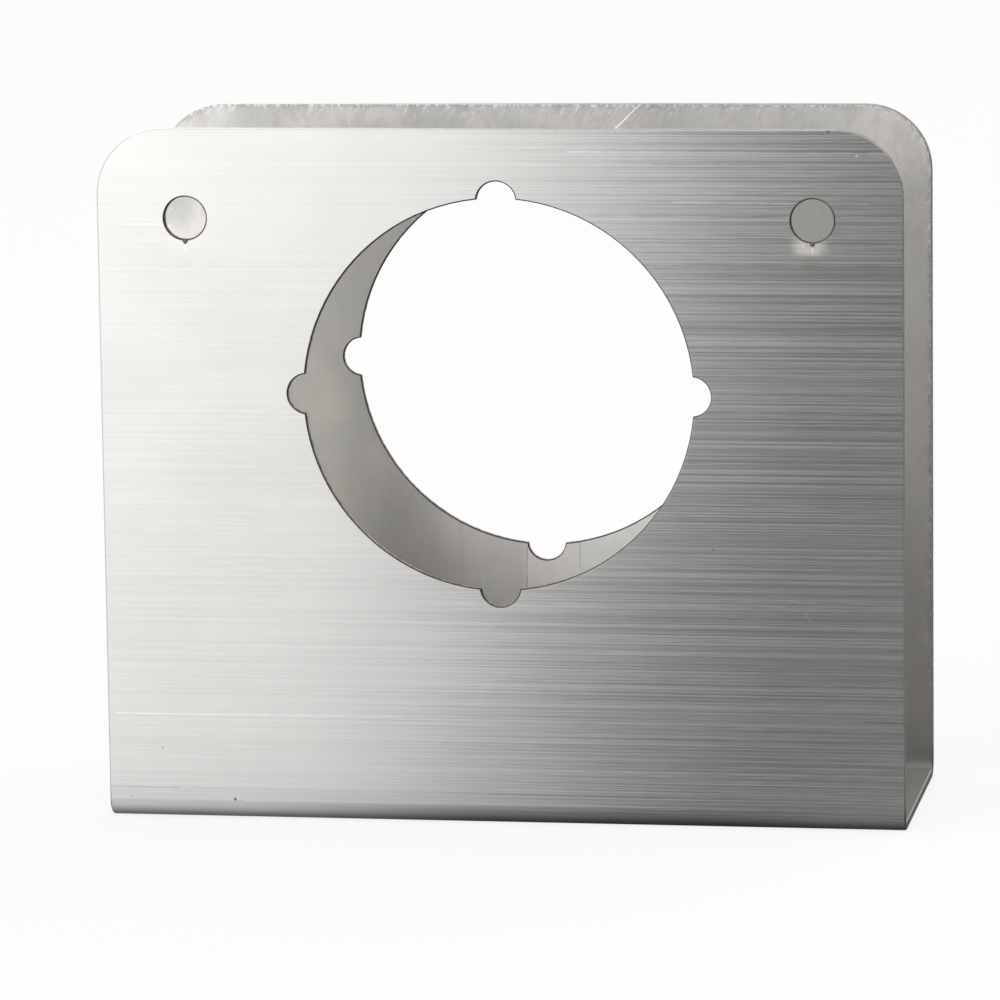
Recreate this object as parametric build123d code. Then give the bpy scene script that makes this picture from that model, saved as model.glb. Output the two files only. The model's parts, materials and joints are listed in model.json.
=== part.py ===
from build123d import *
import os

# A wrap-around cover plate for a door lock, folded from one stainless sheet.
#
# The sheet is bent into a U that slides over the edge of a door. Two equal flanges lie on the
# two faces of the door, and the web between them lies on the door's edge. A round lock bore
# with four half-round notches goes through both flanges, two screw holes stand near the free
# corners of each flange, and the web has a round-cornered opening for the latch's front plate.
#
# The origin is the centre of the web's underside, and the plate stands on that face. +X runs
# along the fold, +Y runs from the front flange to the back flange, and +Z runs up the flanges
# to their free edges. All sizes are in millimetres.

# The sheet and its fold
sheet = 1.2  # thickness of the stainless sheet
door_gap = 40.4  # clear space between the flanges
bend_inside = 1.5  # inside radius of the two bends
edge_break = 0.2  # small bevel on the deburred cut edges
length_match = 0.01  # how closely an edge's length has to match to be known by it

# The flanges
plate_width = 114.3  # along the fold
corner_radius = 9.5  # round free corners of the flanges

# The lock bore and its notches
backset = 60.3  # from the web's inside face to the axis of the lock bore
lock_bore = 55.4  # diameter
notch_radius = 2.8  # half-round notches for the lock's through bolts
notch_reach = 2.4  # how far a notch reaches past the bore
notch_count = 4
rim_over_bore = 9.8  # sheet left between the bore and the flanges' free edges

# The screw holes
screw_hole = 6.0  # diameter
screw_side_inset = 12.7  # from a flange's side edge to the hole's axis
screw_top_inset = 12.7  # from a flange's free edge to the hole's axis

# The latch opening in the web
latch_length = 57.4  # along the fold
latch_width = 25.8  # across the web
latch_corner = 6.4  # corner radius

# Sizes that follow from the ones above
plate_depth = door_gap + 2 * sheet
bend_outside = bend_inside + sheet
bore_height = sheet + backset
plate_height = bore_height + lock_bore / 2 + rim_over_bore
screw_height = plate_height - screw_top_inset
screw_spacing = plate_width - 2 * screw_side_inset


def channel_region(width, floor, bend):
    """A region of the cross-section, from its floor to the free edges, with round lower corners."""
    height = plate_height - floor
    block = Pos(0, floor + height / 2) * Rectangle(width, height)
    lower_corners = block.vertices().group_by(Axis.Y)[0]
    return fillet(lower_corners, bend)


def folded_sheet():
    """The U-shaped channel, as it leaves the bending press."""
    outside = channel_region(plate_depth, 0, bend_outside)
    inside = channel_region(door_gap, sheet, bend_inside)
    return extrude(Plane.YZ * (outside - inside), plate_width / 2, both=True)


def through_flanges(region):
    """A cutter that takes a region of the front view through both flanges."""
    return extrude(Plane.XZ * region, plate_depth, both=True)


def flange_outline():
    """The front view of the plate, with its free corners rounded."""
    block = Pos(0, plate_height / 2) * Rectangle(plate_width, plate_height)
    free_corners = block.vertices().group_by(Axis.Y)[-1]
    return fillet(free_corners, corner_radius)


def lock_bore_cutter():
    """The lock bore, with its notches spaced evenly round the edge."""
    notch_centre = lock_bore / 2 + notch_reach - notch_radius
    notches = PolarLocations(notch_centre, notch_count) * Circle(notch_radius)
    return through_flanges(Pos(0, bore_height) * (Circle(lock_bore / 2) + notches))


def screw_hole_cutter():
    """The two holes near the free corners, through both flanges."""
    holes = Sketch() + GridLocations(screw_spacing, 0, 2, 1) * Circle(screw_hole / 2)
    return through_flanges(Pos(0, screw_height) * holes)


def latch_cutter():
    """The opening in the web."""
    return extrude(RectangleRounded(latch_length, latch_width, latch_corner), plate_depth / 2, both=True)


def edges_of_length(plate, axis, length):
    """The straight edges along an axis that have this length."""
    return plate.edges().filter_by(axis).filter_by(lambda e: abs(e.length - length) < length_match)


def cut_edges(plate):
    """The edges between the sheet's two faces and its cut walls."""
    bend_lines = edges_of_length(plate, Axis.X, plate_width)
    flange_thickness = edges_of_length(plate, Axis.Y, sheet)
    web_thickness = edges_of_length(plate, Axis.Z, sheet)
    return plate.edges() - bend_lines - flange_thickness - web_thickness


def cover_plate():
    """The finished plate, one solid."""
    plate = folded_sheet() & through_flanges(flange_outline())
    plate -= lock_bore_cutter()
    plate -= screw_hole_cutter()
    plate -= latch_cutter()
    return chamfer(cut_edges(plate), edge_break)


os.makedirs("parts", exist_ok=True)
export_step(cover_plate(), "parts/cover_plate.step")
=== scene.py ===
import json
import math

import bpy
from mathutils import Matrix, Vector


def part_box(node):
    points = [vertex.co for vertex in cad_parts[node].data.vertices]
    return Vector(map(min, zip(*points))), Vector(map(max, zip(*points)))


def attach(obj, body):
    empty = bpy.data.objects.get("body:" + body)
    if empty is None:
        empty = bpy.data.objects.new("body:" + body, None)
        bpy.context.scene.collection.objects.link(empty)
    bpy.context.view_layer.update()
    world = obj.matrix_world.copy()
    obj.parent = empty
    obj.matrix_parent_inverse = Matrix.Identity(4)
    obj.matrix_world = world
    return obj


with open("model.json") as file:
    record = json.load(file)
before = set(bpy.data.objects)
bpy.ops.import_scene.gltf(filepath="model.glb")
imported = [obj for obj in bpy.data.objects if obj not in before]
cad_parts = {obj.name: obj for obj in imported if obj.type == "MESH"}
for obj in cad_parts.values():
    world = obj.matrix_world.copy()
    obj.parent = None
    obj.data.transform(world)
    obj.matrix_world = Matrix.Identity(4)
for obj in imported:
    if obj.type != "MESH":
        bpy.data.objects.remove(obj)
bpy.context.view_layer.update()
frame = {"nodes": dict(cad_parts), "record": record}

plate = frame["nodes"]["cover_plate"]
plateLow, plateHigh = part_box("cover_plate")
mounts = {mount["name"]: mount for mount in frame["record"]["mounts"]}

millimetre = 0.001
noiseSpan = (0.3, 0.7)  # what most of a noise lies between
noiseMiddle = (0.4, 0.6)
toneSpan = 240 * millimetre  # the length that a row of tones can cover



def addNode(tree, kind, **settings):
    node = tree.nodes.new(kind)
    for name, value in settings.items():
        setattr(node, name, value)
    return node


def feed(tree, socket, value):
    if isinstance(value, bpy.types.NodeSocket):
        tree.links.new(value, socket)
    else:
        socket.default_value = value


def calc(tree, operation, *values, clamp=False):
    node = addNode(tree, "ShaderNodeMath", operation=operation, use_clamp=clamp)
    for socket, value in zip(node.inputs, values):
        feed(tree, socket, value)
    return node.outputs[0]


def vectorCalc(tree, operation, first, second):
    node = addNode(tree, "ShaderNodeVectorMath", operation=operation)
    feed(tree, node.inputs[0], first)
    feed(tree, node.inputs[1], second)
    return node.outputs[0]


def vectorLength(tree, vector):
    node = addNode(tree, "ShaderNodeVectorMath", operation="LENGTH")
    feed(tree, node.inputs[0], vector)
    return node.outputs["Value"]


def dotProduct(tree, first, second):
    node = addNode(tree, "ShaderNodeVectorMath", operation="DOT_PRODUCT")
    feed(tree, node.inputs[0], first)
    feed(tree, node.inputs[1], second)
    return node.outputs["Value"]


def remap(tree, value, start, end, low=0.0, high=1.0):
    node = addNode(tree, "ShaderNodeMapRange", interpolation_type="SMOOTHSTEP")
    for socket, setting in zip(node.inputs, (value, start, end, low, high)):
        feed(tree, socket, setting)
    return node.outputs[0]


def remapLength(tree, value, lengths):
    # a reach given in millimetres
    return remap(tree, value, lengths[0] * millimetre, lengths[1] * millimetre)


def blendColor(tree, amount, first, second, mode="MIX"):
    node = addNode(tree, "ShaderNodeMix", data_type="RGBA", blend_type=mode)
    feed(tree, node.inputs[0], amount)
    feed(tree, node.inputs[6], first)
    feed(tree, node.inputs[7], second)
    return node.outputs[2]


def blendValue(tree, amount, first, second):
    node = addNode(tree, "ShaderNodeMix", data_type="FLOAT")
    feed(tree, node.inputs[0], amount)
    feed(tree, node.inputs[2], first)
    feed(tree, node.inputs[3], second)
    return node.outputs[0]


def noise(tree, position, scale, detail=2.0, roughness=0.5, distortion=0.0):
    mapping = addNode(tree, "ShaderNodeMapping")
    feed(tree, mapping.inputs["Vector"], position)
    feed(tree, mapping.inputs["Scale"], scale)
    texture = addNode(tree, "ShaderNodeTexNoise")
    feed(tree, texture.inputs["Vector"], mapping.outputs[0])
    texture.inputs["Scale"].default_value = 1
    texture.inputs["Detail"].default_value = detail
    texture.inputs["Roughness"].default_value = roughness
    texture.inputs["Distortion"].default_value = distortion
    return texture.outputs[0]


def newGroup(name, inputs, outputs):
    tree = bpy.data.node_groups.new(name, "ShaderNodeTree")
    for label, kind, default in inputs:
        socket = tree.interface.new_socket(label, in_out="INPUT", socket_type=kind)
        if default is not None:
            socket.default_value = default
    for label, kind in outputs:
        tree.interface.new_socket(label, in_out="OUTPUT", socket_type=kind)
    return tree, addNode(tree, "NodeGroupInput").outputs, addNode(tree, "NodeGroupOutput").inputs


def useGroup(tree, group, **values):
    node = addNode(tree, "ShaderNodeGroup", node_tree=group)
    for name, value in values.items():
        feed(tree, node.inputs[name], value)
    return node.outputs


# the folded sheet, as the part's source has it
sheet = {
    "thickness": 1.2 * millimetre,
    "bendOutside": 2.7 * millimetre,
    "edgeBreak": 0.2 * millimetre,
    "cornerRadius": 9.5 * millimetre,
    "halfDepth": plateHigh.y,
}

lockBore = {
    "radius": mounts["lock_bore"]["dims"]["r_mm"] * millimetre,
    "height": mounts["lock_bore"]["pos_m"][2],
    "margin": 3 * millimetre,  # takes in the notches
}

screwHoles = {
    "spacing": mounts["front_screw_holes"]["dims"]["spacing_x_mm"] * millimetre,
    "radius": mounts["front_screw_holes"]["dims"]["hole_r_mm"] * millimetre,
    "height": mounts["front_screw_holes"]["pos_m"][2],
}


def makeSheetZones():
    # how deep a point lies in the folded sheet: nothing on the outside, the thickness on the inside
    tree, given, out = newGroup(
        "sheetZones",
        [("Position", "NodeSocketVector", None)],
        [("Outside", "NodeSocketFloat"), ("Inside", "NodeSocketFloat"), ("Bevel", "NodeSocketFloat"),
         ("Rim", "NodeSocketFloat"), ("Hole", "NodeSocketFloat")],
    )
    axes = addNode(tree, "ShaderNodeSeparateXYZ")
    feed(tree, axes.inputs[0], given["Position"])
    bend = sheet["bendOutside"]
    across = calc(tree, "SUBTRACT", calc(tree, "ABSOLUTE", axes.outputs["Y"]), sheet["halfDepth"] - bend)
    down = calc(tree, "SUBTRACT", bend, axes.outputs["Z"])
    acrossOut = calc(tree, "MAXIMUM", across, 0)
    downOut = calc(tree, "MAXIMUM", down, 0)
    squares = calc(tree, "ADD", calc(tree, "MULTIPLY", acrossOut, acrossOut),
                   calc(tree, "MULTIPLY", downOut, downOut))
    inner = calc(tree, "MINIMUM", calc(tree, "MAXIMUM", across, down), 0)
    depth = calc(tree, "SUBTRACT", bend, calc(tree, "ADD", calc(tree, "SQRT", squares), inner))
    edge = sheet["edgeBreak"]
    thickness = sheet["thickness"]
    deep, shallow = 0.35 * edge, 0.15 * edge
    outside = remap(tree, depth, deep, shallow)
    inside = remap(tree, depth, thickness - deep, thickness - shallow)
    middle = calc(tree, "ABSOLUTE", calc(tree, "SUBTRACT", depth, thickness / 2))
    bevel = remap(tree, middle, thickness / 2 - 1.25 * edge, thickness / 2 - 0.95 * edge)
    feed(tree, out["Outside"], outside)
    feed(tree, out["Inside"], inside)
    feed(tree, out["Bevel"], bevel)

    # how far a point stands inside the rounded outline of a flange
    corner = sheet["cornerRadius"]
    sideways = calc(tree, "SUBTRACT", calc(tree, "ABSOLUTE", axes.outputs["X"]), plateHigh.x - corner)
    upwards = calc(tree, "SUBTRACT", axes.outputs["Z"], plateHigh.z - corner)
    sidewaysOut = calc(tree, "MAXIMUM", sideways, 0)
    upwardsOut = calc(tree, "MAXIMUM", upwards, 0)
    squares = calc(tree, "ADD", calc(tree, "MULTIPLY", sidewaysOut, sidewaysOut),
                   calc(tree, "MULTIPLY", upwardsOut, upwardsOut))
    inner = calc(tree, "MINIMUM", calc(tree, "MAXIMUM", sideways, upwards), 0)
    fromCorner = calc(tree, "ADD", calc(tree, "SQRT", squares), inner)
    feed(tree, out["Rim"], calc(tree, "SUBTRACT", corner, fromCorner))

    # near the lock bore or a screw hole
    holes = [(0, lockBore["height"], lockBore["radius"] + lockBore["margin"])]
    holes += [(side * screwHoles["spacing"] / 2, screwHoles["height"], screwHoles["radius"] + 2 * edge)
              for side in (-1, 1)]
    near = None
    for across, height, radius in holes:
        offset = vectorCalc(tree, "SUBTRACT", given["Position"], (across, 0, height))
        offset = vectorCalc(tree, "MULTIPLY", offset, (1, 0, 1))
        inHole = calc(tree, "LESS_THAN", vectorLength(tree, offset), radius)
        near = inHole if near is None else calc(tree, "MAXIMUM", near, inHole)
    feed(tree, out["Hole"], near)
    return tree


grain = {
    "straightness": 3,  # how often a line changes in a metre
    "fadePitch": 0.45,
    "fadeReach": (0.38, 0.62),
    "fadeTo": (0.2, 1.8),
}
# streak layers: how many in a metre along X and across it, and their share
grainLayers = (
    {"length": 30, "pitch": 4200, "share": 0.38},
    {"length": 150, "pitch": 5600, "share": 0.36},
    {"length": 20, "pitch": 1500, "share": 0.17},
    {"length": 12, "pitch": 420, "share": 0.09},
)


def makeBrushedGrain():
    # straight hairlines along X that come and go
    tree, given, out = newGroup(
        "brushedGrain",
        [("Position", "NodeSocketVector", None), ("Length", "NodeSocketFloat", 40.0),
         ("Pitch", "NodeSocketFloat", 2000.0)],
        [("Streaks", "NodeSocketFloat")],
    )
    lineScale = addNode(tree, "ShaderNodeCombineXYZ")
    lineScale.inputs["X"].default_value = grain["straightness"]
    feed(tree, lineScale.inputs["Y"], given["Pitch"])
    feed(tree, lineScale.inputs["Z"], given["Pitch"])
    lines = noise(tree, given["Position"], lineScale.outputs[0], detail=1)
    fadePitch = calc(tree, "MULTIPLY", given["Pitch"], grain["fadePitch"])
    fadeScale = addNode(tree, "ShaderNodeCombineXYZ")
    feed(tree, fadeScale.inputs["X"], given["Length"])
    feed(tree, fadeScale.inputs["Y"], fadePitch)
    feed(tree, fadeScale.inputs["Z"], fadePitch)
    fade = noise(tree, given["Position"], fadeScale.outputs[0], detail=1)
    fade = remap(tree, fade, *grain["fadeReach"], *grain["fadeTo"])
    feed(tree, out["Streaks"], calc(tree, "MULTIPLY_ADD", calc(tree, "SUBTRACT", lines, 0.5), fade, 0.5))
    return tree


scratches = {
    "lines": {"scale": (90, 4200, 4200), "detail": 0},
    "places": {"scale": (120, 120, 120), "detail": 1},
    "placeReach": (0.52, 0.62),
    "rarity": 0.7,
    "softness": 0.05,
    "color": (0.86, 0.86, 0.85, 1),
    "amount": 0.14,
}


def makeScratches():
    # a few straight scratches in one direction
    tree, given, out = newGroup(
        "scratches",
        [("Position", "NodeSocketVector", None), ("Rarity", "NodeSocketFloat", 0.75)],
        [("Scratches", "NodeSocketFloat")],
    )
    lines = noise(tree, given["Position"], **scratches["lines"])
    places = noise(tree, given["Position"], **scratches["places"])
    line = remap(tree, lines, given["Rarity"], calc(tree, "ADD", given["Rarity"], scratches["softness"]))
    feed(tree, out["Scratches"], calc(tree, "MULTIPLY", line, remap(tree, places, *scratches["placeReach"])))
    return tree


heat = {
    "straw": (0.8, 0.77, 0.68, 1),
    "smoke": (0.42, 0.37, 0.27, 1),
    "streak": (0.98, 0.97, 0.94, 1),
    "ring": (0.16, 0.1, 0.075, 1),
    "roughness": 0.42,
    "leftAmount": 0.15,
    "rightAmount": 0.45,
    "smokeShare": 0.6,
    "streakShare": 2,
    "ringAmount": 0.35,
    # the tint's four sides, from nothing to full, in millimetres from the hole's lowest point
    "left": (-3.5, -1.6),
    "right": (2.9, 0.2),
    "bottom": (-2.3, -1.1),
    "top": (1.2, -0.3),
    "tintCloud": (0.25, 0.6, 0.4, 1.0),
    "smokeCloud": (0.35, 0.6),
    "smokeLeft": 0.3 * millimetre,
    "smokeDrop": 3.2 * millimetre,
    "smokeWidth": 1.9 * millimetre,
    "smokeHeight": 1.1 * millimetre,
    "streakSide": (0.16, 0.05),
    "streakBottom": (-2.0, -1.2),
    "streakTop": (0.2, 0.0),
    "ringWidth": 0.1 * millimetre,
    "cloud": {"scale": (500, 500, 1400), "detail": 3},
}


def makeHeatMark():
    # heat tint, with a thin pale streak, below the point where the laser pierced the sheet
    tree, given, out = newGroup(
        "heatMark",
        [("Position", "NodeSocketVector", None), ("Across", "NodeSocketFloat", 0.0),
         ("Cloud", "NodeSocketFloat", 0.5)],
        [("Tint", "NodeSocketFloat"), ("Smoke", "NodeSocketFloat"), ("Streak", "NodeSocketFloat"),
         ("Ring", "NodeSocketFloat")],
    )
    axes = addNode(tree, "ShaderNodeSeparateXYZ")
    feed(tree, axes.inputs[0], given["Position"])
    side = calc(tree, "SUBTRACT", axes.outputs["X"], given["Across"])
    height = calc(tree, "SUBTRACT", axes.outputs["Z"], screwHoles["height"])
    below = calc(tree, "ADD", height, screwHoles["radius"])
    cloud = given["Cloud"]

    # most of the tint lies towards -X of the streak
    patch = calc(tree, "MULTIPLY", remapLength(tree, side, heat["left"]),
                 remapLength(tree, side, heat["right"]))
    patch = calc(tree, "MULTIPLY", patch, remapLength(tree, below, heat["bottom"]))
    patch = calc(tree, "MULTIPLY", patch, remapLength(tree, below, heat["top"]))
    feed(tree, out["Tint"], calc(tree, "MULTIPLY", patch, remap(tree, cloud, *heat["tintCloud"])))

    # a small smoky spot further down
    smokeSide = calc(tree, "DIVIDE", calc(tree, "ADD", side, heat["smokeLeft"]), heat["smokeWidth"])
    smokeDown = calc(tree, "DIVIDE", calc(tree, "ADD", below, heat["smokeDrop"]), heat["smokeHeight"])
    reach = calc(tree, "SQRT", calc(tree, "ADD", calc(tree, "MULTIPLY", smokeSide, smokeSide),
                                    calc(tree, "MULTIPLY", smokeDown, smokeDown)))
    feed(tree, out["Smoke"], calc(tree, "MULTIPLY", remap(tree, reach, 1.0, 0.1),
                                  remap(tree, cloud, *heat["smokeCloud"])))

    # the pale streak, and a dark ring round the hole
    narrow = remapLength(tree, calc(tree, "ABSOLUTE", side), heat["streakSide"])
    short = calc(tree, "MULTIPLY", remapLength(tree, below, heat["streakBottom"]),
                 remapLength(tree, below, heat["streakTop"]))
    feed(tree, out["Streak"], calc(tree, "MULTIPLY", narrow, short))
    fromAxis = calc(tree, "SQRT", calc(tree, "ADD", calc(tree, "MULTIPLY", side, side),
                                       calc(tree, "MULTIPLY", height, height)))
    ringInner = screwHoles["radius"] + sheet["edgeBreak"]
    feed(tree, out["Ring"], remap(tree, fromAxis, ringInner + heat["ringWidth"], ringInner))
    return tree


def makeLineMark():
    # a straight mark between two points of a flange
    tree, given, out = newGroup(
        "lineMark",
        [("Position", "NodeSocketVector", None), ("Start", "NodeSocketVector", None),
         ("End", "NodeSocketVector", None), ("Width", "NodeSocketFloat", 0.0002),
         ("Uneven", "NodeSocketFloat", 0.5)],
        [("Mark", "NodeSocketFloat")],
    )
    flat = vectorCalc(tree, "MULTIPLY", given["Position"], (1, 0, 1))
    fromStart = vectorCalc(tree, "SUBTRACT", flat, given["Start"])
    along = vectorCalc(tree, "SUBTRACT", given["End"], given["Start"])
    share = calc(tree, "DIVIDE", dotProduct(tree, fromStart, along), dotProduct(tree, along, along), clamp=True)
    nearest = addNode(tree, "ShaderNodeVectorMath", operation="SCALE")
    feed(tree, nearest.inputs[0], along)
    feed(tree, nearest.inputs["Scale"], share)
    distance = vectorLength(tree, vectorCalc(tree, "SUBTRACT", fromStart, nearest.outputs[0]))
    halfWidth = calc(tree, "MULTIPLY", given["Width"], remap(tree, given["Uneven"], *noiseSpan, 0.25, 0.7))
    feed(tree, out["Mark"], remap(tree, distance, halfWidth, calc(tree, "MULTIPLY", halfWidth, 0.4)))
    return tree


specks = {
    "spacing": 130,  # cells in a metre
    "size": 0.028,  # of a cell
    "chosen": (0.8, 0.82),  # only the cells above this hold a speck
    "color": (0.14, 0.13, 0.12, 1),
    "amount": 0.5,
}


def makeSpecks():
    # small pits and specks, few and uneven
    tree, given, out = newGroup(
        "specks",
        [("Position", "NodeSocketVector", None), ("Spacing", "NodeSocketFloat", 150.0),
         ("Size", "NodeSocketFloat", 0.05)],
        [("Specks", "NodeSocketFloat")],
    )
    cells = addNode(tree, "ShaderNodeTexVoronoi", feature="F1")
    feed(tree, cells.inputs["Vector"], given["Position"])
    feed(tree, cells.inputs["Scale"], given["Spacing"])
    pick = addNode(tree, "ShaderNodeSeparateColor")
    feed(tree, pick.inputs[0], cells.outputs["Color"])
    dots = remap(tree, cells.outputs["Distance"], given["Size"], calc(tree, "MULTIPLY", given["Size"], 0.5))
    feed(tree, out["Specks"], calc(tree, "MULTIPLY", dots, remap(tree, pick.outputs[0], *specks["chosen"])))
    return tree


def tones(tree, value, stops):
    # a grey that changes along an axis: each stop is a place in millimetres and its tone
    ramp = addNode(tree, "ShaderNodeValToRGB")
    points = ramp.color_ramp.elements
    for count, (place, tone) in enumerate(stops):
        point = points[count] if count < 2 else points.new(1)
        point.position = 0.5 + place * millimetre / toneSpan
        point.color = (tone, tone, tone, 1)
    feed(tree, ramp.inputs[0], calc(tree, "ADD", calc(tree, "DIVIDE", value, toneSpan), 0.5))
    return ramp.outputs["Color"]


def grey(tone):
    return (tone, tone * 0.995, tone * 0.98, 1)  # with a trace of warmth


dotSpan = (0.05, 0.02)  # the ends of a dot are this far apart, in millimetres

# scratches and dents, listed one by one: ends or middle in millimetres across and up, width, tone,
# and how much of it shows
outsideLines = (
    {"start": (-56.0, 15.2), "end": (-14.4, 15.4), "width": 0.22, "tone": 0.98, "amount": 0.32},
    {"start": (10.0, 95.8), "end": (56.0, 95.7), "width": 0.24, "tone": 1.0, "amount": 0.5},
    {"start": (22.0, 94.2), "end": (40.0, 94.1), "width": 0.18, "tone": 0.3, "amount": 0.35},
    {"start": (25.0, 88.8), "end": (52.0, 88.6), "width": 0.24, "tone": 1.0, "amount": 0.42},
    {"start": (51.6, 15.8), "end": (57.1, 15.7), "width": 0.17, "tone": 0.2, "amount": 0.7},
    {"start": (55.2, 26.0), "end": (57.1, 26.0), "width": 0.16, "tone": 0.2, "amount": 0.65},
    {"start": (43.2, 31.2), "end": (44.0, 29.9), "width": 0.24, "tone": 1.0, "amount": 0.5},
    {"start": (41.0, 33.0), "end": (42.3, 32.7), "width": 0.2, "tone": 1.0, "amount": 0.35},
    {"start": (-57.0, 4.5), "end": (-47.0, 4.5), "width": 0.2, "tone": 0.3, "amount": 0.4},
    {"start": (-47.0, 4.5), "end": (-2.0, 4.5), "width": 0.2, "tone": 0.4, "amount": 0.13},
    {"start": (-2.0, 4.5), "end": (22.0, 4.4), "width": 0.2, "tone": 0.3, "amount": 0.42},
    {"start": (22.0, 4.4), "end": (57.0, 4.4), "width": 0.2, "tone": 0.4, "amount": 0.18},
)

outsideDots = (
    {"middle": (-38.8, 2.9), "width": 0.65, "tone": 0.1, "amount": 0.8},
    {"middle": (-38.1, 2.8), "width": 0.3, "tone": 0.1, "amount": 0.6},
    {"middle": (-53.9, 3.0), "width": 0.4, "tone": 0.2, "amount": 0.35},
    {"middle": (-49.3, 10.2), "width": 0.4, "tone": 0.25, "amount": 0.6},
    {"middle": (-21.3, 4.1), "width": 0.3, "tone": 0.25, "amount": 0.5},
    {"middle": (50.6, 95.3), "width": 0.6, "tone": 1.0, "amount": 1.0},
    {"middle": (36.1, 90.1), "width": 0.36, "tone": 1.0, "amount": 0.7},
    {"middle": (46.6, 98.7), "width": 0.5, "tone": 0.15, "amount": 0.8},
    {"middle": (57.0, 82.2), "width": 0.5, "tone": 0.1, "amount": 0.9},
)

# on the inside: a pale scratch, then three dark upright lines that are painted reflections of the edges facing
# them
insideScratchAndReflections = (
    {"start": (6.4, 91.0), "end": (14.6, 99.0), "width": 0.34, "tone": 1.0, "amount": 0.85},
    {"start": (-3.1, 26.0), "end": (-3.0, 33.3), "width": 0.3, "tone": 0.25, "amount": 0.55},
    {"start": (5.0, 30.0), "end": (4.9, 34.5), "width": 0.22, "tone": 0.25, "amount": 0.35},
    {"start": (-12.9, 28.0), "end": (-12.7, 42.0), "width": 1.1, "tone": 0.35, "amount": 0.16},
)


def addMarks(tree, group, position, uneven, where, color, lines):
    # draws lines, and dots as very short lines, over a colour
    for line in lines:
        start = line.get("start", line.get("middle"))
        end = line.get("end", (start[0] + dotSpan[0], start[1] + dotSpan[1]))
        mark = useGroup(tree, group, Position=position, Uneven=uneven, Width=line["width"] * millimetre,
                        Start=[start[0] * millimetre, 0, start[1] * millimetre],
                        End=[end[0] * millimetre, 0, end[1] * millimetre])
        amount = calc(tree, "MULTIPLY", calc(tree, "MULTIPLY", mark["Mark"], line["amount"]), where)
        color = blendColor(tree, amount, color, grey(line["tone"]))
    return color


steel = {
    "color": (0.73, 0.73, 0.715, 1),
    "streakDark": (0.54, 0.54, 0.525, 1),
    "contrastRise": (-30 * millimetre, 42 * millimetre),  # the streaks show most towards +X
    "contrast": (0.09, 0.6),
    "backContrast": 0.45,
    "foldShadeTones": ((0, 0.86), (4.2, 0.86), (4.8, 0.94), (16, 1.0)),  # painted shade: darker towards the fold, at -X
    "foldShadeReach": (12 * millimetre, -20 * millimetre),
    "roughness": (0.15, 0.185),
    "cloudTone": (0.98, 1.02),
    "grainDepth": 0.002 * millimetre,
    "clouds": {"scale": (55, 55, 90), "detail": 3},
    "uneven": {"scale": (900, 900, 900), "detail": 2},
    "anisotropy": 0.95,
}

mill = {
    "warm": (0.84, 0.805, 0.785, 1),
    "cool": (0.785, 0.79, 0.755, 1),
    "stain": (0.735, 0.705, 0.685, 1),
    "scuff": (0.87, 0.86, 0.84, 1),
    "roughness": (0.34, 0.46),
    # painted shade on the inside: darkest low in the fold, darker again just below the top edge
    "shadeByHeight": ((0, 0.58), (4, 0.62), (9, 0.78), (27, 0.81), (47, 1.03), (67, 1.0), (77, 0.82),
                    (84, 0.72), (88, 0.75), (92, 0.82)),
    # painted reflection of the edges facing it: a dark band, low on the inside
    "bandShadeTones": ((-45, 1.2), (-33, 1.15), (-27, 1.0), (-22, 0.85), (-17, 0.77), (-12, 0.79), (-3.3, 0.73),
                  (-2.9, 0.91), (6, 0.96), (12, 1.0)),
    "bandShadeReach": (76 * millimetre, 40 * millimetre),
    # painted light and shade along the top of the inside: lighter at the ends, darker in the middle
    "topShadeReach": (89 * millimetre, 95 * millimetre),
    "topShadeTones": ((-57, 1.0), (-28, 0.9), (12, 0.83), (30, 0.88), (46, 1.06)),
    "mottleReach": (74 * millimetre, 92 * millimetre),  # mottled along the free edge, calm below
    "calm": 0.3,
    # painted shade: darker within a ragged millimetre of the free edge
    "rimShade": 0.88,
    "rimShadeReach": 1.0 * millimetre,
    "raggedness": 2.5 * millimetre,
    "smears": {"scale": (420, 420, 260), "detail": 4, "roughness": 0.62, "distortion": 0.8},
    "tints": {"scale": (110, 110, 110), "detail": 3},
    "spots": {"scale": (1100, 1100, 800), "detail": 3, "roughness": 0.65},
    "tintReach": (0.42, 0.58),
    "stainReach": (0.58, 0.36),
    "scuffReach": (0.6, 0.72),
    "scuffAmount": 0.5,
}

edges = {
    "outer": (0.56, 0.55, 0.535, 1),
    "outerDark": (0.46, 0.445, 0.43, 1),
    "outerLit": (0.88, 0.87, 0.85, 1),  # painted light: paler towards -X
    "litReach": (20 * millimetre, -40 * millimetre),
    # painted shade: the cut walls darker low down, most at the end of the fold
    "shadeByHeight": ((0, 0.3), (2.4, 0.3), (5, 0.8), (70, 1.0)),
    "laser": (0.42, 0.35, 0.31, 1),
    "laserDark": (0.2, 0.16, 0.14, 1),
    "soot": (0.09, 0.07, 0.06, 1),
    "roughness": 0.5,
    "lines": {"scale": (3200, 60, 3200), "detail": 1},  # across the sheet
    "burrReach": (0.6 * millimetre, 0.36 * millimetre),
    "burrUneven": 1.2 * millimetre,
    "burrs": {"scale": (2400, 2400, 1500), "detail": 2},
    "burrTops": (0.46, 0.6),
    "burrHeight": (8 * millimetre, 20 * millimetre),
    "burrAmount": 0.42,
    "burrLight": (0.98, 0.97, 0.95, 1),
    "burrDark": (0.38, 0.35, 0.325, 1),
    "hairs": {"scale": (2600, 2600, 700), "detail": 1},
    "hairTops": (0.6, 0.68),
    "hairReach": (2.4 * millimetre, 0.96 * millimetre),
    "hairLean": 35,  # degrees
    "hairAmount": 0.32,
}


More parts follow.
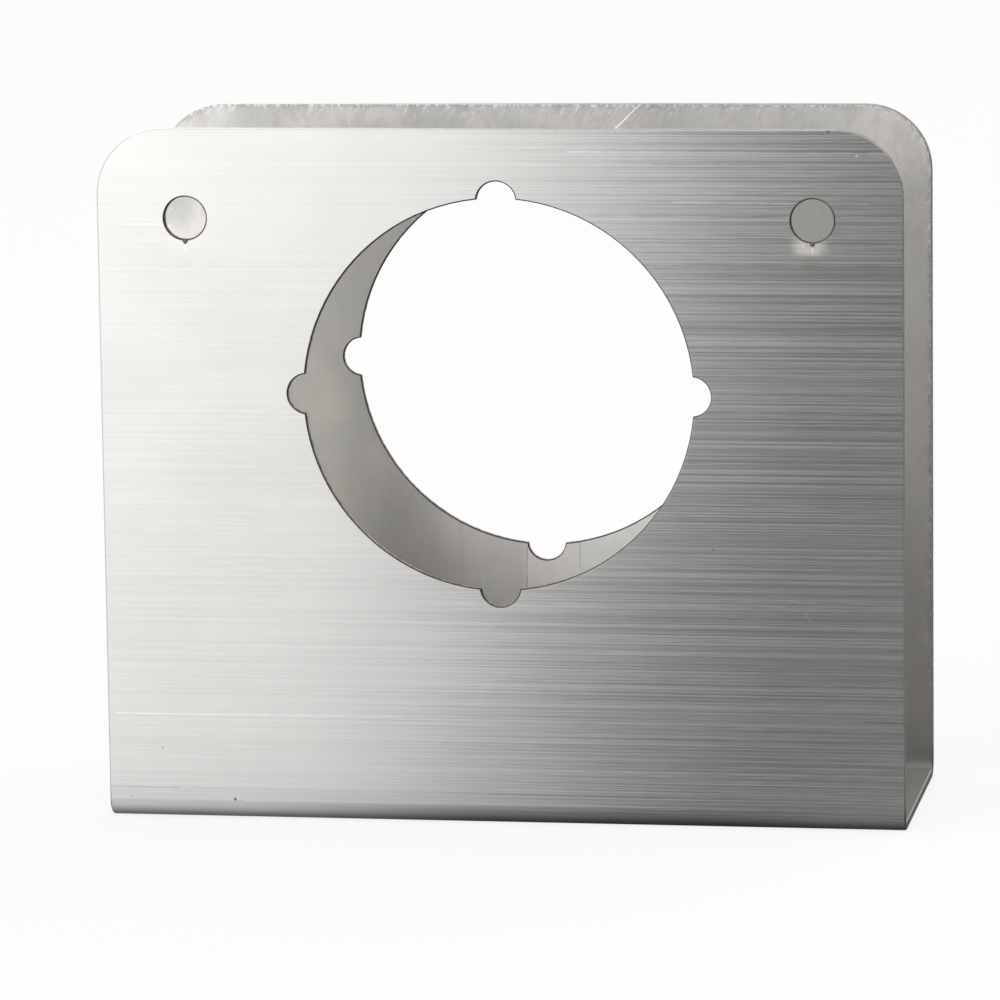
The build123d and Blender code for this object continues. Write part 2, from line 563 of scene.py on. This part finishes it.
def makeSheetMaterial(groups):
    material = bpy.data.materials.new("foldedStainless")
    material.use_nodes = True
    tree = material.node_tree
    shader = tree.nodes["Principled BSDF"]
    position = addNode(tree, "ShaderNodeTexCoord").outputs["Object"]
    axes = addNode(tree, "ShaderNodeSeparateXYZ")
    feed(tree, axes.inputs[0], position)
    zones = useGroup(tree, groups["zones"], Position=position)
    uneven = noise(tree, position, **steel["uneven"])
    atFront = calc(tree, "LESS_THAN", axes.outputs["Y"], 0)
    atBack = calc(tree, "GREATER_THAN", axes.outputs["Y"], 0)

    # the brushed outside
    streaks = 0.0
    for layer in grainLayers:
        lines = useGroup(tree, groups["grain"], Position=position, Length=layer["length"], Pitch=layer["pitch"])
        streaks = calc(tree, "MULTIPLY_ADD", lines["Streaks"], layer["share"], streaks)
    contrast = remap(tree, axes.outputs["X"], *steel["contrastRise"], *steel["contrast"])
    contrast = blendValue(tree, atBack, contrast, steel["backContrast"])
    tone = blendValue(tree, contrast, 0.5, remap(tree, streaks, *noiseMiddle))
    outsideColor = blendColor(tree, tone, steel["streakDark"], steel["color"])
    clouds = noise(tree, position, **steel["clouds"])
    cloudTone = remap(tree, clouds, *noiseSpan, *steel["cloudTone"])
    outsideColor = blendColor(tree, 1.0, outsideColor, cloudTone, mode="MULTIPLY")
    # painted shade on the front face, low down and towards -X
    foldShade = blendValue(tree, remap(tree, axes.outputs["X"], *steel["foldShadeReach"]), 1.0,
                          tones(tree, axes.outputs["Z"], steel["foldShadeTones"]))
    foldShade = blendValue(tree, atFront, 1.0, foldShade)
    outsideColor = blendColor(tree, 1.0, outsideColor, foldShade, mode="MULTIPLY")
    outsideRough = remap(tree, streaks, *noiseMiddle, *steel["roughness"])
    scratched = useGroup(tree, groups["scratches"], Position=position, Rarity=scratches["rarity"])["Scratches"]
    outsideColor = blendColor(tree, calc(tree, "MULTIPLY", scratched, scratches["amount"]), outsideColor,
                              scratches["color"])
    speckled = useGroup(tree, groups["specks"], Position=position, Spacing=specks["spacing"],
                        Size=specks["size"])["Specks"]
    outsideColor = blendColor(tree, calc(tree, "MULTIPLY", speckled, specks["amount"]), outsideColor,
                              specks["color"])
    outsideColor = addMarks(tree, groups["line"], position, uneven, atFront, outsideColor,
                            outsideLines + outsideDots)

    # heat marks below the screw holes
    cloud = noise(tree, position, **heat["cloud"])
    for side, amount in ((-1, heat["leftAmount"]), (1, heat["rightAmount"])):
        mark = useGroup(tree, groups["heat"], Position=position, Cloud=cloud,
                        Across=side * screwHoles["spacing"] / 2)
        for name, paint, share in (("Tint", "straw", amount), ("Smoke", "smoke", heat["smokeShare"] * amount),
                                   ("Streak", "streak", heat["streakShare"] * amount),
                                   ("Ring", "ring", heat["ringAmount"])):
            amountHere = calc(tree, "MULTIPLY", mark[name], share)
            outsideColor = blendColor(tree, amountHere, outsideColor, heat[paint])
        outsideRough = blendValue(tree, calc(tree, "MULTIPLY", mark["Tint"], amount), outsideRough,
                                  heat["roughness"])

    # the dull inside, mottled and smeared, with painted shade and light by height, along the top, across a low
    # band and at the rim
    smears = noise(tree, position, **mill["smears"])
    tints = noise(tree, position, **mill["tints"])
    spots = noise(tree, position, **mill["spots"])
    mottle = remap(tree, axes.outputs["Z"], *mill["mottleReach"], mill["calm"], 1.0)
    insideColor = blendColor(tree, remap(tree, tints, *mill["tintReach"]), mill["warm"], mill["cool"])
    stained = calc(tree, "MULTIPLY", remap(tree, smears, *mill["stainReach"]), mottle)
    insideColor = blendColor(tree, stained, insideColor, mill["stain"])
    scuffed = calc(tree, "MULTIPLY", remap(tree, spots, *mill["scuffReach"]),
                   calc(tree, "MULTIPLY", mottle, mill["scuffAmount"]))
    insideColor = blendColor(tree, scuffed, insideColor, mill["scuff"])
    # painted shade by height
    lowShade = tones(tree, axes.outputs["Z"], mill["shadeByHeight"])
    # painted light and shade along the top
    topShade = tones(tree, axes.outputs["X"], mill["topShadeTones"])
    topShade = blendValue(tree, remap(tree, axes.outputs["Z"], *mill["topShadeReach"]), 1.0, topShade)
    # painted reflection: the dark band low on the inside
    bandShade = tones(tree, axes.outputs["X"], mill["bandShadeTones"])
    bandShade = blendValue(tree, remap(tree, axes.outputs["Z"], *mill["bandShadeReach"]), 1.0, bandShade)
    lowShade = calc(tree, "MULTIPLY", lowShade, bandShade)
    ragged = calc(tree, "MULTIPLY_ADD", calc(tree, "SUBTRACT", smears, 0.5), mill["raggedness"], zones["Rim"])
    # painted shade along the free edge
    rimShade = remap(tree, ragged, 0.0, mill["rimShadeReach"], mill["rimShade"], 1.0)
    # all the painted shade and light of the inside, together
    insideShade = calc(tree, "MULTIPLY", calc(tree, "MULTIPLY", lowShade, topShade), rimShade)
    insideColor = blendColor(tree, 1.0, insideColor, insideShade, mode="MULTIPLY")
    insideColor = addMarks(tree, groups["line"], position, uneven, atBack, insideColor, insideScratchAndReflections)

    # short slanting hairs and burrs along its free edges
    leaning = addNode(tree, "ShaderNodeVectorRotate", rotation_type="Y_AXIS")
    feed(tree, leaning.inputs["Vector"], position)
    leaning.inputs["Angle"].default_value = -math.radians(edges["hairLean"])
    hairs = noise(tree, leaning.outputs[0], **edges["hairs"])
    hairZone = calc(tree, "MULTIPLY", remap(tree, ragged, *edges["hairReach"]),
                    remap(tree, axes.outputs["Z"], *edges["burrHeight"]))
    hairMask = calc(tree, "MULTIPLY", remap(tree, hairs, *edges["hairTops"]), hairZone)
    insideColor = blendColor(tree, calc(tree, "MULTIPLY", hairMask, edges["hairAmount"]), insideColor,
                             edges["burrLight"])
    burrEdge = remap(tree, calc(tree, "MULTIPLY_ADD", calc(tree, "SUBTRACT", spots, 0.5), edges["burrUneven"],
                                zones["Rim"]), *edges["burrReach"])
    burrEdge = calc(tree, "MULTIPLY", burrEdge, remap(tree, axes.outputs["Z"], *edges["burrHeight"]))
    burrNoise = noise(tree, position, **edges["burrs"])
    burrColor = blendColor(tree, remap(tree, burrNoise, *edges["burrTops"]), edges["burrDark"],
                           edges["burrLight"])
    insideColor = blendColor(tree, calc(tree, "MULTIPLY", burrEdge, edges["burrAmount"]), insideColor,
                             burrColor)
    insideRough = remap(tree, tints, *noiseSpan, *mill["roughness"])

    # the cut walls: round the outline, painted light towards -X and painted shade low down; burnt dark in the
    # holes
    lineNoise = noise(tree, position, **edges["lines"])
    cutLines = remap(tree, lineNoise, *noiseMiddle)
    outerWall = blendColor(tree, cutLines, edges["outerDark"], edges["outer"])
    # painted light on the cut wall towards -X
    outerWall = blendColor(tree, remap(tree, axes.outputs["X"], *edges["litReach"]), outerWall,
                           edges["outerLit"])
    # painted shade low on the cut walls
    outerTone = tones(tree, axes.outputs["Z"], edges["shadeByHeight"])
    outerWall = blendColor(tree, 1.0, outerWall, outerTone, mode="MULTIPLY")
    laserWall = blendColor(tree, cutLines, edges["laserDark"], edges["laser"])
    laserWall = blendColor(tree, zones["Bevel"], laserWall, edges["soot"])
    wallColor = blendColor(tree, zones["Hole"], outerWall, laserWall)

    color = blendColor(tree, zones["Inside"], wallColor, insideColor)
    color = blendColor(tree, zones["Outside"], color, outsideColor)
    rough = blendValue(tree, zones["Inside"], edges["roughness"], insideRough)
    rough = blendValue(tree, zones["Outside"], rough, outsideRough)

    bump = addNode(tree, "ShaderNodeBump")
    bump.inputs["Strength"].default_value = 1
    bump.inputs["Distance"].default_value = 1
    feed(tree, bump.inputs["Height"], calc(tree, "MULTIPLY", streaks, steel["grainDepth"]))

    # highlights spread across the grain, which runs along X
    geometry = addNode(tree, "ShaderNodeNewGeometry")
    acrossGrain = vectorCalc(tree, "CROSS_PRODUCT", geometry.outputs["Normal"], (1, 0, 0))
    acrossGrain = vectorCalc(tree, "ADD", acrossGrain, (0.002, 0.003, 0.001))  # it is never nothing

    feed(tree, shader.inputs["Base Color"], color)
    feed(tree, shader.inputs["Roughness"], rough)
    shader.inputs["Metallic"].default_value = 1
    shader.inputs["Anisotropic"].default_value = steel["anisotropy"]
    feed(tree, shader.inputs["Tangent"], acrossGrain)
    feed(tree, shader.inputs["Normal"], bump.outputs[0])
    return material


nubs = {
    "radius": 0.34 * millimetre,
    "shape": (1.25, 0.45, 0.8),
    "drop": 0.28 * millimetre,
    "tailFrom": -0.3,  # of the radius
    "tail": (0.55, 0.7, 1.5),
    "color": (0.1, 0.085, 0.075, 1),
    "paleColor": (0.3, 0.24, 0.2, 1),
    "roughness": (0.45, 0.75),
    "grains": {"scale": (6000, 6000, 6000), "detail": 2},
}


def makeNubMaterial():
    material = bpy.data.materials.new("burntSteel")
    material.use_nodes = True
    tree = material.node_tree
    shader = tree.nodes["Principled BSDF"]
    position = addNode(tree, "ShaderNodeTexCoord").outputs["Object"]
    grains = noise(tree, position, **nubs["grains"])
    feed(tree, shader.inputs["Base Color"], blendColor(tree, grains, nubs["color"], nubs["paleColor"]))
    feed(tree, shader.inputs["Roughness"], remap(tree, grains, *noiseSpan, *nubs["roughness"]))
    shader.inputs["Metallic"].default_value = 1
    return material


def makeNubs():
    # a small bead of burnt metal where the laser pierced the sheet, below each screw hole
    beads = []
    for side in (-1, 1):
        for face in (-1, 1):
            place = (side * screwHoles["spacing"] / 2, face * sheet["halfDepth"],
                     screwHoles["height"] - screwHoles["radius"] - nubs["drop"])
            bpy.ops.object.select_all(action="DESELECT")
            bpy.ops.mesh.primitive_ico_sphere_add(subdivisions=3, radius=nubs["radius"], location=place)
            bead = bpy.context.object
            bpy.ops.object.mode_set(mode="EDIT")
            bpy.ops.mesh.select_all(action="SELECT")
            bpy.ops.transform.resize(value=nubs["shape"])
            bpy.ops.mesh.select_all(action="DESELECT")
            bpy.ops.object.mode_set(mode="OBJECT")
            for vertex in bead.data.vertices:
                vertex.select = vertex.co.z < nubs["tailFrom"] * nubs["radius"]
            bpy.ops.object.mode_set(mode="EDIT")
            bpy.ops.transform.resize(value=nubs["tail"], center_override=place)
            bpy.ops.object.mode_set(mode="OBJECT")
            beads.append(bead)
    bpy.ops.object.select_all(action="DESELECT")
    for bead in beads:
        bead.select_set(True)
    bpy.context.view_layer.objects.active = beads[0]
    bpy.ops.object.join()
    piece = bpy.context.object
    piece.name = "laser_nubs"
    bpy.ops.object.transform_apply(location=True, rotation=True, scale=True)
    bpy.ops.object.shade_smooth()
    piece.data.materials.clear()
    piece.data.materials.append(makeNubMaterial())
    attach(piece, "root")


studio = {
    "floorSize": 14,
    "floorColor": (0.9, 0.9, 0.89, 1),
    "floorRoughness": 0.9,
    "floorGlow": 0.82,  # share of plain white that the camera sees in the floor
    "worldColor": (1, 1, 1, 1),
    "worldStrength": 0.75,
    "aim": (0, 0, 0.05),
    "keyPlace": (-0.9, -1.3, 1.7),
    "keySize": 1.6,
    "keyPower": 14,
    "fillPlace": (1.2, 1.1, 1.5),
    "fillSize": 1.6,
    "fillPower": 9,
    "panelDistance": 2.2,
    "panelWidth": 6,
    "panelHeight": 4,
    "sidePanelHeight": 3,
    "sidePanelRise": 0.5,
}


def whiteForCamera(tree):
    path = addNode(tree, "ShaderNodeLightPath")
    seen = calc(tree, "MAXIMUM", path.outputs["Is Camera Ray"], path.outputs["Is Glossy Ray"])
    return calc(tree, "MAXIMUM", seen, path.outputs["Is Transmission Ray"])


def makeFloor():
    bpy.ops.object.select_all(action="DESELECT")
    bpy.ops.mesh.primitive_plane_add(size=studio["floorSize"], location=(0, 0, 0))
    floor = bpy.context.object
    floor.name = "floor"
    material = bpy.data.materials.new("paleFloor")
    material.use_nodes = True
    tree = material.node_tree
    shader = tree.nodes["Principled BSDF"]
    shader.inputs["Base Color"].default_value = studio["floorColor"]
    shader.inputs["Roughness"].default_value = studio["floorRoughness"]
    shader.inputs["Specular IOR Level"].default_value = 0
    glow = addNode(tree, "ShaderNodeEmission")
    mix = addNode(tree, "ShaderNodeMixShader")
    feed(tree, mix.inputs[0], calc(tree, "MULTIPLY", whiteForCamera(tree), studio["floorGlow"]))
    feed(tree, mix.inputs[1], shader.outputs[0])
    feed(tree, mix.inputs[2], glow.outputs[0])
    feed(tree, tree.nodes["Material Output"].inputs["Surface"], mix.outputs[0])
    floor.data.materials.append(material)
    floor.visible_glossy = False  # the metal mirrors the panels below instead


def makeWorld():
    world = bpy.data.worlds.new("paleStudio")
    bpy.context.scene.world = world
    world.use_nodes = True
    tree = world.node_tree
    background = tree.nodes["Background"]
    background.inputs["Color"].default_value = studio["worldColor"]
    feed(tree, background.inputs["Strength"],
         blendValue(tree, whiteForCamera(tree), studio["worldStrength"], 1.0))


def aimed(place, target):
    offset = [t - p for p, t in zip(place, target)]
    flat = math.hypot(offset[0], offset[1])
    return (math.atan2(flat, -offset[2]), 0, math.atan2(offset[0], -offset[1]) + math.pi)


def makeLight(name, place, size, power):
    bpy.ops.object.light_add(type="AREA", location=place, rotation=aimed(place, studio["aim"]))
    light = bpy.context.object
    light.name = name
    light.data.size = size
    light.data.energy = power
    light.visible_glossy = False
    light.visible_camera = False


def makePanel(name, place, turn, size, buildStrength):
    bpy.ops.object.select_all(action="DESELECT")
    bpy.ops.mesh.primitive_plane_add(size=1, location=place, rotation=turn)
    panel = bpy.context.object
    panel.name = name
    panel.scale = (size[0], size[1], 1)
    bpy.ops.object.transform_apply(location=True, rotation=True, scale=True)
    material = bpy.data.materials.new(name)
    material.use_nodes = True
    tree = material.node_tree
    tree.nodes.remove(tree.nodes["Principled BSDF"])
    glow = addNode(tree, "ShaderNodeEmission")
    axes = addNode(tree, "ShaderNodeSeparateXYZ")
    feed(tree, axes.inputs[0], addNode(tree, "ShaderNodeTexCoord").outputs["Object"])
    feed(tree, glow.inputs["Strength"], buildStrength(tree, axes.outputs))
    feed(tree, tree.nodes["Material Output"].inputs["Surface"], glow.outputs[0])
    panel.data.materials.append(material)
    panel.visible_camera = False
    panel.visible_diffuse = False
    panel.visible_transmission = False
    panel.visible_shadow = False


# what the metal mirrors: light on the left, a grey wall on the right, and a dark floor below
mirrored = {
    "light": 1.52,
    "lightSlope": (-1.3, 1.65),  # how the light changes to the right and upwards, for each metre
    "lightRange": (0.6, 2.6),
    "grey": 0.222,
    "dipTone": 0.66,  # the grey is darkest just past the edge of light
    "dipStart": (0.4, 1.3),
    "dipEnd": (1.35, 1.9),
    "dipRise": (-0.09, -0.18),
    "beyondTone": 1.12,
    "side": (0.204, 0.544),  # the wall beyond the plate's right end, from low to high
    "sideReach": (-1.0, 2.0),
    "sideDistance": 2.6,
    "belowDepth": 0.95,
    "belowFade": (-1.1, 0.6),  # along Y, from the lit floor in front to the shade below the plate
    "belowShade": 0.22,
    "lowestRise": -0.37,
    "lowestEdge": -0.4,
    "farRight": 0.6,
    "farReach": (0.5, 1.8),
    "leftmost": -0.4,
    "leftEnd": -0.56,  # what the front face's left edge mirrors
    "middle": -0.1,  # the height that the front face's top edge mirrors
    "edge": -0.318,
    "edgeSlant": 0.28,
    "edgeWidth": 0.13,
}


def wallGlow(tree, along, rise):
    # light on the left, grey on the right, with a slanting edge between them
    edge = calc(tree, "MULTIPLY_ADD", calc(tree, "MAXIMUM", rise, mirrored["lowestEdge"]),
                mirrored["edgeSlant"], mirrored["edge"])
    past = calc(tree, "DIVIDE", calc(tree, "SUBTRACT", along, edge), mirrored["edgeWidth"])
    light = calc(tree, "MULTIPLY_ADD", rise, mirrored["lightSlope"][1], mirrored["light"])
    leftOfEdge = calc(tree, "MAXIMUM", calc(tree, "SUBTRACT", along, mirrored["leftEnd"]), mirrored["leftmost"])
    light = calc(tree, "MULTIPLY_ADD", leftOfEdge, mirrored["lightSlope"][0], light)
    lowest, highest = mirrored["lightRange"]
    light = calc(tree, "MINIMUM", calc(tree, "MAXIMUM", light, lowest), highest)
    ended = calc(tree, "MULTIPLY", remap(tree, past, *mirrored["dipEnd"]),
                 remap(tree, rise, *mirrored["dipRise"]))
    dip = blendValue(tree, remap(tree, past, *mirrored["dipStart"]), 1.0, mirrored["dipTone"])
    dark = calc(tree, "MULTIPLY", blendValue(tree, ended, dip, mirrored["beyondTone"]), mirrored["grey"])
    strength = blendValue(tree, remap(tree, past, -0.5, 0.5), light, dark)
    return blendValue(tree, remap(tree, along, *mirrored["farReach"]), strength, mirrored["farRight"])


def frontGlow(tree, axes):
    rise = calc(tree, "SUBTRACT", axes["Z"], mirrored["middle"])
    return wallGlow(tree, axes["X"], calc(tree, "MAXIMUM", rise, mirrored["lowestRise"]))


def backGlow(tree, axes):
    rise = calc(tree, "SUBTRACT", axes["Z"], mirrored["middle"])
    across = calc(tree, "MULTIPLY", axes["X"], -1)
    return wallGlow(tree, across, calc(tree, "MAXIMUM", rise, mirrored["lowestRise"]))


def belowGlow(tree, axes):
    # the bend shows this floor, so its edge of light is put where the flange shows the wall's
    depth = mirrored["belowDepth"]
    length = calc(tree, "SQRT", calc(tree, "MULTIPLY_ADD", axes["Y"], axes["Y"], depth * depth))
    share = calc(tree, "DIVIDE", length, -view["place"][1])
    onPlate = calc(tree, "DIVIDE", calc(tree, "MULTIPLY_ADD", share, view["place"][0], axes["X"]),
                   calc(tree, "ADD", share, 1))
    wallShare = studio["panelDistance"] / -view["place"][1]
    along = calc(tree, "MULTIPLY_ADD", onPlate, 1 + wallShare, -wallShare * view["place"][0])
    lit = wallGlow(tree, along, mirrored["lowestRise"])
    shade = remap(tree, axes["Y"], *mirrored["belowFade"], 1.0, mirrored["belowShade"])
    return calc(tree, "MULTIPLY", lit, shade)


def sideGlow(tree, axes):
    return remap(tree, axes["Z"], *mirrored["sideReach"], *mirrored["side"])


def makePanels():
    away = studio["panelDistance"]
    wall = (studio["panelWidth"], studio["panelHeight"])
    upright = math.radians(90)
    makePanel("frontPanel", (0, -away, 0), (upright, 0, 0), wall, frontGlow)
    makePanel("backPanel", (0, away, 0), (upright, 0, 0), wall, backGlow)
    makePanel("belowPanel", (0, 0, -mirrored["belowDepth"]), (0, 0, 0),
              (studio["panelWidth"], 2 * away), belowGlow)
    makePanel("sidePanel", (mirrored["sideDistance"], 0, studio["sidePanelRise"]), (0, upright, 0),
              (studio["sidePanelHeight"], 2 * away), sideGlow)


view = {
    "place": (0.1377, -0.8344, 0.1716),
    "turn": (81.384, 0.732, 9.496),  # degrees
    "lens": 213.4,
    "sensor": 36,
    "nearest": 0.01,
}


def makeCamera():
    turn = [math.radians(angle) for angle in view["turn"]]
    bpy.ops.object.camera_add(location=view["place"], rotation=turn)
    camera = bpy.context.object
    camera.name = "mainCamera"
    camera.data.lens = view["lens"]
    camera.data.sensor_width = view["sensor"]
    camera.data.clip_start = view["nearest"]
    bpy.context.scene.camera = camera


print("stage: camera and studio")
bpy.context.scene.view_settings.view_transform = "Standard"
makeCamera()
makeFloor()
makeWorld()
makeLight("keyLight", studio["keyPlace"], studio["keySize"], studio["keyPower"])
makeLight("fillLight", studio["fillPlace"], studio["fillSize"], studio["fillPower"])
makePanels()

print("stage: materials")
groups = {
    "zones": makeSheetZones(),
    "grain": makeBrushedGrain(),
    "scratches": makeScratches(),
    "heat": makeHeatMark(),
    "specks": makeSpecks(),
    "line": makeLineMark(),
}
plate.material_slots[0].material = makeSheetMaterial(groups)

print("stage: small pieces")
makeNubs()

print("stage: finished")
